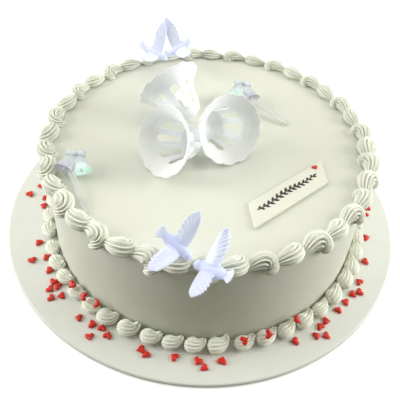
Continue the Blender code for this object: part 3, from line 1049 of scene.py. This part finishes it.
# Each bell's mouth on the top, which way it faces, and its tilt, in degrees
BELLS = {
    "left": ((-0.0320, -0.0350), -138, 27),
    "right": ((0.0185, -0.0160), -56, 28),
    "back": ((-0.0345, 0.0385), 129, 24),
}
for name, (mouth, facing, rise) in BELLS.items():
    bell = own_copy(master_bell)
    bell.name = "openwork_bell_" + name
    facing = math.radians(facing)
    rise = math.radians(rise)
    axis = Vector((math.cos(facing) * math.cos(rise), math.sin(facing) * math.cos(rise), math.sin(rise)))
    lowest = max(r * BELL_RIM * math.cos(rise) + z * BELL_HEIGHT * math.sin(rise) for r, z in BELL_OUTLINE)
    place = Vector((mouth[0], mouth[1], CAKE_TOP + BELL_CLEARANCE + lowest))
    turned = (-axis).to_track_quat("Z", "Y").to_matrix().to_4x4()
    set_in_place(bell, Matrix.Translation(place) @ turned)
    hand_over(bell, "bell_plastic", bell_plastic, "bell_" + name)
bpy.data.objects.remove(master_bell)

# %% [markdown]
# ## The clear picks
#
# A pick is one flat casting of clear plastic with a pearly skin: a blade that is
# pushed into the cream, two little bells side by side, and a bow over them. The
# bells could be spun from an outline, but a ball whose rings follow the outline
# and then turn inward gives the hollow mouth too, and stays closed. The bow is a
# band bent round a formula, with two short notched ends.

# %% Model a pick's little bell
PICK_BELL_LINE = [(9.3, -0.6), (8.4, 1.0), (7.0, 4.0), (6.2, 8.0), (5.7, 12.0), (4.4, 15.4), (0.6, 17.4)]
PICK_HOLLOW_LINE = [(8.8, -0.4), (7.6, 1.4), (6.2, 4.4), (4.8, 8.0), (0.4, 10.0)]
# The share of the ball's rings that make the outside, and how flat the bell is
OUTSIDE_SHARE = 0.6
PRESSED_FLAT = 0.55


def pick_bell(tint):
    """One little bell along +X from its mouth, pressed flat, with its hollow marked for its tint and, on the
    mint side, a painted glow.
    """
    bell = make_ball("pick_bell", 36, 30)

    def rule(ball):
        share = pole_share(ball)
        angle = math.atan2(ball.y, ball.x)
        if share < OUTSIDE_SHARE:
            wide, along = on_smooth_line(PICK_BELL_LINE, 1.0 - share / OUTSIDE_SHARE)
        else:
            wide, along = on_smooth_line(PICK_HOLLOW_LINE, (share - OUTSIDE_SHARE) / (1.0 - OUTSIDE_SHARE))
        wide *= 1.0 + 0.03 * math.cos(6 * angle)
        ring = min(1.0, math.sin(share * math.pi) * 8.0)
        return Vector((along, wide * ring * math.cos(angle), wide * ring * math.sin(angle) * PRESSED_FLAT))

    # The mark tints the hollow, and on the mint side it also brings a painted glow that lightens the shade
    # inside the mouth
    tint_and_glow_marks = bell.data.attributes.new("hollow_tint_and_glow", "FLOAT", "POINT")
    for vertex in bell.data.vertices:
        tint_and_glow_marks.data[vertex.index].value = tint if pole_share(vertex.co) > OUTSIDE_SHARE else 0.0
    reshape(bell, rule)
    face_outwards(bell)
    return bell


# %% Model the bow's loops and ends
RIBBON_THICKNESS = 0.5
LOOP_REACH = 4.4
LOOP_HEIGHT = 1.5
END_LENGTH = 4.0
END_NOTCH = 1.2


def ribbon_loop(side):
    """Half of the bow: a flat band that goes out in a loop and comes back."""
    loop = new_primitive("bow_loop", bpy.ops.mesh.primitive_grid_add, x_subdivisions=28, y_subdivisions=4,
                         size=2.0)

    def rule(p):
        turn = p.x * math.pi
        out = LOOP_REACH * (1.0 + math.cos(turn))
        height = LOOP_HEIGHT * math.sin(turn)
        wide = 1.7 + 1.5 * (1.0 + math.cos(turn)) / 2
        return Vector((wide * p.y + 0.6 * math.sin(turn), side * out, height))

    reshape(loop, rule)
    apply_modifier(loop, "SOLIDIFY", thickness=RIBBON_THICKNESS, offset=0.0)
    face_outwards(loop)
    return loop


def ribbon_end(side):
    """One short end of the bow's ribbon, with a notched tip."""
    end = new_primitive("bow_end", bpy.ops.mesh.primitive_grid_add, x_subdivisions=10, y_subdivisions=4,
                         size=2.0)

    def rule(p):
        along = (p.x + 1.0) / 2
        notch = END_NOTCH * along * (1.0 - abs(p.y))
        return Vector((1.0 - (END_LENGTH - notch) * along, side * (0.8 + 4.2 * along) + 1.1 * p.y,
                       2.6 + 0.7 * math.sin(along * 4.0)))

    reshape(end, rule)
    apply_modifier(end, "SOLIDIFY", thickness=RIBBON_THICKNESS, offset=0.0)
    face_outwards(end)
    return end


# %% Model the blade
PICK_STICK = 46.0
BLADE_WIDTH = 5.2
BLADE_TIP = 0.65
BLADE_THICKNESS = 1.2
BLADE_HOLLOW = 1.6


def make_blade():
    """The blade along +X: narrow at its tip, and sunk along its middle up to the head."""
    blade = new_primitive("pick_blade", bpy.ops.mesh.primitive_cube_add, size=1.0)
    edit_where(blade, "FACE", lambda centre, normal: True,
               (bpy.ops.mesh.subdivide, dict(number_cuts=5)))

    def rule(p):
        share = p.x + 0.5
        wide = BLADE_WIDTH * (BLADE_TIP + (1.0 - BLADE_TIP) * min(1.0, share * 4))
        sunk = BLADE_HOLLOW * max(0.0, 0.35 - abs(p.y)) if p.x < 0.45 else 0.0
        return Vector((share * PICK_STICK, p.y * wide, p.z * (BLADE_THICKNESS - sunk)))

    reshape(blade, rule)
    apply_modifier(blade, "BEVEL", width=0.15, segments=2, limit_method="ANGLE")
    clear = blade.data.attributes.new("clear_blade", "FLOAT", "POINT")
    for number in range(len(blade.data.vertices)):
        clear.data[number].value = 1.0
    return blade


# %% Put a pick together
PICK_HEAD = 0.86
PICK_BELL_TILT = math.radians(20)
CLAPPER_RADIUS = 1.7
KNOT_HALF_SIZE = (2.6, 2.2, 1.9)


def make_pick(head_turn, head_shift, mint_side):
    """One pick along +X from its tip, in metres."""
    head = Matrix.Translation((PICK_STICK, 0.0, 0.0)) @ Matrix.Rotation(head_turn, 4, "Z")
    head = head @ Matrix.Scale(PICK_HEAD, 4)
    head = head @ Matrix.Translation((-3.0, head_shift, 0.0))
    pieces = [make_blade()]
    for side in (-1.0, 1.0):
        bell = pick_bell(side * mint_side)
        tilt = Matrix.Rotation(-side * PICK_BELL_TILT, 4, "Z")
        set_in_place(bell, head @ Matrix.Translation((0.6 * side, 8.5 * side, 0.0)) @ tilt)
        clapper = make_ball("clapper", 14, 8, CLAPPER_RADIUS)
        set_in_place(clapper, head @ Matrix.Translation((-0.4, 7.6 * side, 0.4)))
        loop = ribbon_loop(side)
        set_in_place(loop, head @ Matrix.Translation((17.5, 0.0, 1.2)))
        end = ribbon_end(side)
        set_in_place(end, head @ Matrix.Translation((16.0, 0.0, 0.8)))
        pieces += [bell, clapper, loop, end]
    knot = make_ball("bow_knot", 18, 10)
    knot_shape = Matrix.Diagonal((*KNOT_HALF_SIZE, 1.0))
    set_in_place(knot, head @ Matrix.Translation((16.0, 0.0, 0.6)) @ knot_shape)
    pieces.append(knot)
    pick = join_pieces("pick", pieces)
    set_in_place(pick, Matrix.Scale(MM, 4))
    smooth(pick, 40)
    return pick


# %% [markdown]
# ## The picks' pearly film
#
# The film on the picks shows lilac, blue and mint by turns. On a real one the
# colour changes with the angle that it is seen from. That would be lost in an
# exported model, so here it wanders with the slope of the surface and a little
# noise. One hollow mouth is bright mint and the other lilac, and the blade, which
# has no film, is clear and grey. The mint is made lighter and given a painted glow
# in its own colour, which lightens the shade inside that mouth, and the rest of the
# film has a fainter painted glow.

# %% Cast the pearly plastic
FILM_LILAC = (0.78, 0.74, 0.86)
FILM_MINT = (0.76, 0.90, 0.88)
FILM_BLUE = (0.80, 0.85, 0.96)
# The mint is the film's colour made lighter, which paints light into the shaded inside of the mouth
HOLLOW_MINT_LIT = (0.76, 1.0, 0.86)
HOLLOW_LILAC = (0.76, 0.72, 0.86)
BLADE_GREY = (0.66, 0.68, 0.62)
# The faint painted glow that the rest of the film has, as no lamp gives it
FAINT_PAINTED_GLOW = (0.05, 0.05, 0.06)
BLADE_ALPHA = 0.42
FILM_RELIEF = 0.0009


def cast_pearly_plastic():
    """Clear plastic with a pearly film: its colour turns with the surface's slope, and it has a painted
    glow.
    """
    film = Recipe("clear pearly plastic", Roughness=0.14, IOR=1.5, Coat_Weight=0.6, Coat_Roughness=0.06,
                  Emission_Strength=0.30)
    where = film.place()
    slope_x, slope_y, _ = film.along_axes(film.node("ShaderNodeNewGeometry", {}).outputs["Normal"])
    turn = (slope_x * 1.6 + slope_y * 0.9 + film.noise(where, 260.0, 2.0) * 2.2) * 3.0
    hollow = film.mesh_value("hollow_tint_and_glow")
    blade = film.mesh_value("clear_blade")
    skin = film.blend(FILM_LILAC, FILM_MINT, turn.wave())
    skin = film.blend(skin, FILM_BLUE, (turn * 1.7 + 2.0).wave() * 0.6)
    skin = film.blend(skin, HOLLOW_MINT_LIT, hollow.limit() * 0.85)
    skin = film.blend(skin, HOLLOW_LILAC, (-1.0 * hollow).limit() * 0.75)
    skin = film.blend(skin, BLADE_GREY, blade * 0.8)
    film.feed("Base Color", skin)
    # Painted glow: the mint hollow glows in its own colour, which lightens the shade inside its mouth, and
    # the rest glows faintly
    film.feed("Emission Color", film.blend(FAINT_PAINTED_GLOW, skin, hollow.limit()))
    cloud = 0.26 + 0.50 * film.noise(where, 320.0, 2.0) + 0.2 * hollow * hollow
    film.feed("Alpha", cloud * (1.0 - blade) + BLADE_ALPHA * blade)
    film.relief(film.noise(where, 420.0, 3.0) * (1.0 - blade), FILM_RELIEF)
    return film.material


pearly_plastic = cast_pearly_plastic()
print("film:", len(pearly_plastic.node_tree.nodes), "nodes")

# %% Push the picks into the cream
TIP_HEIGHT = 0.0015
# Each pick's tip on the top, the way it points and its rise in degrees, its head's
# turn in degrees and shift in mm, and on which side its mint mouth is
PICKS = {
    "left": ((-0.0815, -0.0930), 117, 10, -25, -4.0, -1.0),
    "right": ((0.0690, 0.0260), 147, 13, -50, 1.5, 1.0),
}
for name, (tip, facing, rise, head_turn, head_shift, mint_side) in PICKS.items():
    pick = make_pick(math.radians(head_turn), head_shift, mint_side)
    pick.name = "clear_pick_" + name
    turned = Euler((0.0, -math.radians(rise), math.radians(facing)), "XYZ").to_matrix().to_4x4()
    set_in_place(pick, Matrix.Translation((tip[0], tip[1], CAKE_TOP + TIP_HEIGHT)) @ turned)
    hand_over(pick, "pick_plastic", pearly_plastic, "pick_" + name)

# %% [markdown]
# ## The plaque
#
# The plaque is a thin sheet of ivory sugar with slanted ends, cut out and dried.
# Shearing a box needs a window, so a cube is reshaped by the plaque's own two
# directions, which also say later where its ornament lies. A fine bevel breaks
# its edges.

# %% Lay out the plaque
PLAQUE_LENGTH = 0.0785
PLAQUE_WIDTH = 0.0255
PLAQUE_THICKNESS = 0.0026
PLAQUE_TURN = math.radians(42.5)
PLAQUE_SLANT = math.radians(-80.5)
PLAQUE_CENTRE = Vector((0.0660, -0.0574, CAKE_TOP + 0.0002))
plaque_along = Vector((math.cos(PLAQUE_TURN), math.sin(PLAQUE_TURN), 0.0))
plaque_down = Vector((math.cos(PLAQUE_SLANT), math.sin(PLAQUE_SLANT), 0.0))
PLAQUE_TOP = PLAQUE_CENTRE.z + PLAQUE_THICKNESS


def on_plaque(share_along, share_down, over=0.0):
    """A place on the plaque's face, each share from -1 to 1."""
    spot = PLAQUE_CENTRE + plaque_along * share_along * PLAQUE_LENGTH / 2
    spot = spot + plaque_down * share_down * PLAQUE_WIDTH / 2
    return Vector((spot.x, spot.y, PLAQUE_TOP + over))


print("plaque from", [round(c, 4) for c in on_plaque(-1, -1)], "to", [round(c, 4) for c in on_plaque(1, 1)])

# %% Press and cut the plaque
PLAQUE_EDGE = 0.0009


def press_sugar(name, pale, deep, shine, grain):
    """Pressed sugar: close to one colour, with a fine grain."""
    sugar = Recipe(name, Roughness=shine, IOR=1.5, Subsurface_Weight=0.08, Subsurface_Scale=0.002)
    where = sugar.place()
    sugar.feed("Base Color", sugar.blend(pale, deep, sugar.noise(where, 240.0, 3.0)))
    sugar.feed("Roughness", shine - 0.06 + 0.14 * sugar.noise(where, 500.0, 2.0))
    sugar.relief(sugar.noise(where, 1800.0, 2.0), grain)
    return sugar.material


plaque = new_primitive("sugar_plaque", bpy.ops.mesh.primitive_cube_add, size=2.0)
reshape(plaque, lambda p: on_plaque(p.x, -p.y, -PLAQUE_THICKNESS * (1.0 - p.z) / 2))
face_outwards(plaque)
apply_modifier(plaque, "BEVEL", width=PLAQUE_EDGE, segments=4, limit_method="ANGLE")
smooth(plaque, 50)
IVORY_PALE = (0.80, 0.805, 0.705)
IVORY_DEEP = (0.77, 0.775, 0.665)
ivory_sugar = press_sugar("ivory sugar", IVORY_PALE, IVORY_DEEP, shine=0.42, grain=0.00004)
hand_over(plaque, "plaque_sugar", ivory_sugar, "plaque")

# %% [markdown]
# ## The branch on the plaque
#
# The ornament is a slim laurel branch in dark icing, drawn with a fine nozzle. Its
# stem is a curve with a round section, which is made a mesh. A leaf could be a
# flat outline, but icing is never flat, so each is a ball drawn out to a point.

# %% Draw the stem
# Where the branch starts and ends along the plaque, and lies across it, as shares
BRANCH_START = -0.84
BRANCH_END = 0.70
BRANCH_LINE = -0.10
BRANCH_WAVES = 1.5
BRANCH_SWING = 0.07
BRANCH_STEPS = 48
BRANCH_THICKNESS = 0.00042


def branch_place(share):
    """A place on the stem, which sways a little along the plaque."""
    along = BRANCH_START + (BRANCH_END - BRANCH_START) * share
    sway = BRANCH_SWING * math.sin(2 * math.pi * BRANCH_WAVES * share)
    return on_plaque(along, BRANCH_LINE + sway, 0.0001)


print("branch:", round((branch_place(1.0) - branch_place(0.0)).length, 4), "long")


def draw_stem():
    """The stem as a curve with a round section, made a mesh."""
    line = bpy.data.curves.new("branch_stem", "CURVE")
    line.dimensions = "3D"
    line.bevel_depth = BRANCH_THICKNESS
    line.bevel_resolution = 2
    line.use_fill_caps = True
    spline = line.splines.new("POLY")
    spline.points.add(BRANCH_STEPS)
    for number, point in enumerate(spline.points):
        point.co = (*branch_place(number / BRANCH_STEPS), 1.0)
    stem = bpy.data.objects.new("branch_stem", line)
    bpy.context.scene.collection.objects.link(stem)
    make_active(stem)
    bpy.ops.object.convert(target="MESH")
    return bpy.context.object


# %% Draw the leaves
LEAF_PAIRS = 13
LEAF_LENGTH = 0.0046
LEAF_SLIMNESS = 0.30
LEAF_HALF_HEIGHT = 0.00028


def draw_leaf(share, side):
    """A small pointed leaf that springs from the stem. Side 0 is the one at its tip."""
    leaf = make_ball("branch_leaf", 12, 8)
    ahead = branch_place(min(share + NEARBY, 1.0))
    run = (ahead - branch_place(max(share - NEARBY, 0.0))).normalized()
    out = Vector((-run.y, run.x, 0.0)) * side
    aim = (run + out).normalized()
    across = Vector((-aim.y, aim.x, 0.0))
    root = branch_place(share)
    length = LEAF_LENGTH * (0.72 + 0.28 * math.sin(math.pi * min(1.0, share * 1.1)))

    def rule(ball):
        point = (ball.z + 1.0) / 2
        slim = (1.0 - point) ** 0.3
        spread = across * ball.y * slim * length * LEAF_SLIMNESS
        return root + aim * point * length + spread + Vector((0, 0, ball.x * LEAF_HALF_HEIGHT))

    reshape(leaf, rule)
    return leaf


# %% Put the branch together
branch_pieces = [draw_stem(), draw_leaf(1.0, 0.0)]
for number in range(LEAF_PAIRS):
    share = (number + 0.4) / LEAF_PAIRS
    branch_pieces.append(draw_leaf(share, 1.0))
    branch_pieces.append(draw_leaf(share + 0.3 / LEAF_PAIRS, -1.0))
branch = join_pieces("plaque_branch", branch_pieces)
face_outwards(branch)
smooth(branch, 60)
ICING_DARK = (0.030, 0.027, 0.022)
ICING_LIGHTER = (0.045, 0.040, 0.032)
dark_icing = press_sugar("dark icing", ICING_DARK, ICING_LIGHTER, shine=0.40, grain=0.00002)
hand_over(branch, "plaque_sugar", dark_icing)

# %% [markdown]
# ## The sugar hearts
#
# Small pressed hearts of red sugar lie round the cake on the board, and a few
# lie on the lower border. A heart's outline could be filled and thickened, but its
# edge would be sharp. So one heart is a ball pressed flat, whose meridians are
# drawn out to the heart's curve. Where the photograph shows hearts they lie at
# those places, given by the turn round the cake and the distance from its middle.
# Behind the cake they go on at random.

# %% Press one heart
HEART_SIZE = 0.0077
HEART_THICKNESS = 0.0022
HEART_POINTS = 20
HEART_RINGS = 7
# The heart curve below is this many units across
HEART_CURVE_SPAN = 33


def make_heart(name, size, thickness):
    """One pillowed heart, flatter below than above, with its point towards -Y."""
    heart = make_ball(name, HEART_POINTS, HEART_RINGS)

    def rule(ball):
        turn = math.atan2(ball.x, ball.y)
        across = 16 * math.sin(turn) ** 3
        along = 13 * math.cos(turn) - 5 * math.cos(2 * turn) - 2 * math.cos(3 * turn) - math.cos(4 * turn)
        spread = math.hypot(ball.x, ball.y) ** 0.55 * size / HEART_CURVE_SPAN
        rise = thickness * (0.35 + (0.65 if ball.z > 0 else 0.35) * ball.z)
        return Vector((across * spread, (along + 2.0) * spread, rise))

    reshape(heart, rule)
    face_outwards(heart)
    return heart


master_heart = make_heart("heart", HEART_SIZE, HEART_THICKNESS)
print("heart:", len(master_heart.data.polygons), "faces")

# %% Scatter the hearts
# Turn round the cake in degrees and distance from its middle in mm
HEARTS_ON_BOARD = [
    (176, 165), (172, 158), (177, 150), (181, 149), (198, 150), (205, 158), (205, 146), (211, 147),
    (216, 149), (218, 154), (218, 148), (221, 157), (222, 150), (240, 147), (232, 152), (237, 149),
    (239, 159), (243, 150), (254, 150), (256, 152), (264, 149), (271, 151), (273, 156), (278, 150),
    (301, 149), (311, 149), (314, 149), (308, 154), (310, 158), (320, 149), (324, 149), (328, 150),
    (330, 154), (334, 150), (343, 149), (354, 149), (5, 151), (8, 156), (9, 151),
]
# The same with the height of the shell that each one lies on
HEARTS_ON_SHELLS = [
    (224, 141, 15), (230, 141, 15), (236, 139, 17), (285, 142, 15), (293, 142, 15), (303, 140, 17),
]
SHELL_LEAN = math.radians(32)
HEARTS_BEHIND = 26
ON_BOARD = BOARD_TOP + 0.0001
SUNK_IN_CREAM = 0.002
heart_rng = random.Random(23)


def drop_heart(degrees, reach, height, lean):
    """A copy of the heart at a turn and a distance, leaning outward."""
    heart = own_copy(master_heart)
    turn = math.radians(degrees)
    place = CAKE_CENTRE + Vector((math.cos(turn) * reach, math.sin(turn) * reach, height))
    tip = Matrix.Rotation(turn, 4, "Z") @ Matrix.Rotation(lean, 4, "Y")
    spin = Matrix.Rotation(heart_rng.uniform(0, 2 * math.pi), 4, "Z")
    size = Matrix.Scale(heart_rng.uniform(0.94, 1.08), 4)
    set_in_place(heart, Matrix.Translation(place) @ tip @ spin @ size)
    return heart


hearts = [drop_heart(degrees, reach * MM, ON_BOARD, math.radians(heart_rng.uniform(-3, 3)))
          for degrees, reach in HEARTS_ON_BOARD]
hearts += [drop_heart(degrees, reach * MM, BOARD_TOP + height * MM - SUNK_IN_CREAM, SHELL_LEAN)
           for degrees, reach, height in HEARTS_ON_SHELLS]
hearts += [drop_heart(heart_rng.uniform(14, 170), heart_rng.uniform(0.150, 0.163), ON_BOARD, 0.0)
           for _ in range(HEARTS_BEHIND)]
print("hearts:", len(hearts))
bpy.data.objects.remove(master_heart)
sugar_hearts = join_pieces("sugar_hearts", hearts)
smooth(sugar_hearts, 50)
RED_BRIGHT = (0.75, 0.036, 0.018)
RED_DEEP = (0.62, 0.024, 0.012)
red_sugar = press_sugar("red sugar", RED_BRIGHT, RED_DEEP, shine=0.36, grain=0.00005)
hand_over(sugar_hearts, "sugar_hearts", red_sugar)

# %% Lay a smaller heart on the plaque
PLAQUE_HEART_SIZE = 0.0052
PLAQUE_HEART_THICKNESS = 0.0012
PLAQUE_HEART_TURN = math.radians(30)
plaque_heart = make_heart("plaque_heart", PLAQUE_HEART_SIZE, PLAQUE_HEART_THICKNESS)
heart_place = on_plaque(0.80, -0.62)
set_in_place(plaque_heart, Matrix.Translation(heart_place) @ Matrix.Rotation(PLAQUE_HEART_TURN, 4, "Z"))
smooth(plaque_heart, 50)
hand_over(plaque_heart, "sugar_hearts", red_sugar)

# %% [markdown]
# ## The floor and the backdrop
#
# A plain pale floor carries the board, and a pale backdrop closes the room round
# it. Both glow a little, so that they stay white to their edges. Left alone they
# would light the cake from below and fill its shade, so diffuse rays don't see
# them.

# %% Lay the floor and hang the backdrop
FLOOR_SIZE = 12.0
FLOOR_COLOR = (0.90, 0.90, 0.90, 1.0)
FLOOR_GLOW = 0.42
BACKDROP_RADIUS = 4.5
BACKDROP_COLOR = (0.60, 0.60, 0.58, 1.0)
floor = new_primitive("studio_floor", bpy.ops.mesh.primitive_plane_add, size=FLOOR_SIZE, location=(0, 0, 0))
floor_paint = Recipe("pale floor", Base_Color=FLOOR_COLOR, Roughness=0.9, Emission_Color=FLOOR_COLOR,
                     Emission_Strength=FLOOR_GLOW)
floor.data.materials.append(floor_paint.material)
floor.visible_diffuse = False

backdrop = new_primitive("studio_backdrop", bpy.ops.mesh.primitive_uv_sphere_add, segments=48, ring_count=24,
                         radius=BACKDROP_RADIUS)
face_outwards(backdrop)
backdrop_paint = Recipe("pale backdrop", Base_Color=BACKDROP_COLOR, Roughness=1.0,
                        Emission_Color=BACKDROP_COLOR, Emission_Strength=1.0)
backdrop.data.materials.append(backdrop_paint.material)
backdrop.visible_diffuse = False
backdrop.visible_glossy = False
backdrop.visible_shadow = False
print("stage:", floor.name, "and", backdrop.name)

# %% [markdown]
# ## The light
#
# The light is that of a product studio: a wide soft box above and behind the
# cake, two tall ones at its sides, and a weak small one in front. A strong light
# from the camera's side would flatten the piping. This way the front of the wall
# is in shade, and the shells' grooves show. The air adds a faint warm light, as a
# pale room does.

# %% Light the studio
# Name, place, what it looks at, width and height, power in watts, and colour
SOFT_BOXES = [
    ("box_above", (0.0, 0.50, 1.20), (0.0, 0.02, 0.05), (1.6, 1.3), 8.8, (1.0, 1.0, 0.98)),
    ("box_front", (0.0, -0.75, 1.15), (0.0, 0.05, 0.08), (1.0, 0.6), 1.3, (1.0, 1.0, 0.97)),
    ("box_left", (-1.20, -0.05, 0.55), (0.0, 0.0, 0.08), (0.8, 1.0), 16.0, (1.0, 1.0, 0.98)),
    ("box_right", (1.20, 0.05, 0.55), (0.0, 0.0, 0.08), (0.8, 1.0), 17.0, (1.0, 1.0, 0.97)),
]
AIR_COLOR = (1.0, 0.97, 0.62, 1.0)
AIR_STRENGTH = 0.115


def soft_box(name, place, aim, size, power, color):
    """One rectangular lamp that looks at a point."""
    data = bpy.data.lights.new(name, "AREA")
    data.shape = "RECTANGLE"
    data.size, data.size_y = size
    data.energy = power
    data.color = color
    lamp = bpy.data.objects.new(name, data)
    bpy.context.scene.collection.objects.link(lamp)
    lamp.location = place
    lamp.rotation_euler = (Vector(place) - Vector(aim)).to_track_quat("Z", "Y").to_euler()


for box in SOFT_BOXES:
    soft_box(*box)

world = bpy.data.worlds.new("studio air")
world.use_nodes = True
air = world.node_tree.nodes["Background"]
air.inputs["Color"].default_value = AIR_COLOR
air.inputs["Strength"].default_value = AIR_STRENGTH
bpy.context.scene.world = world
bpy.context.scene.view_settings.view_transform = "Standard"
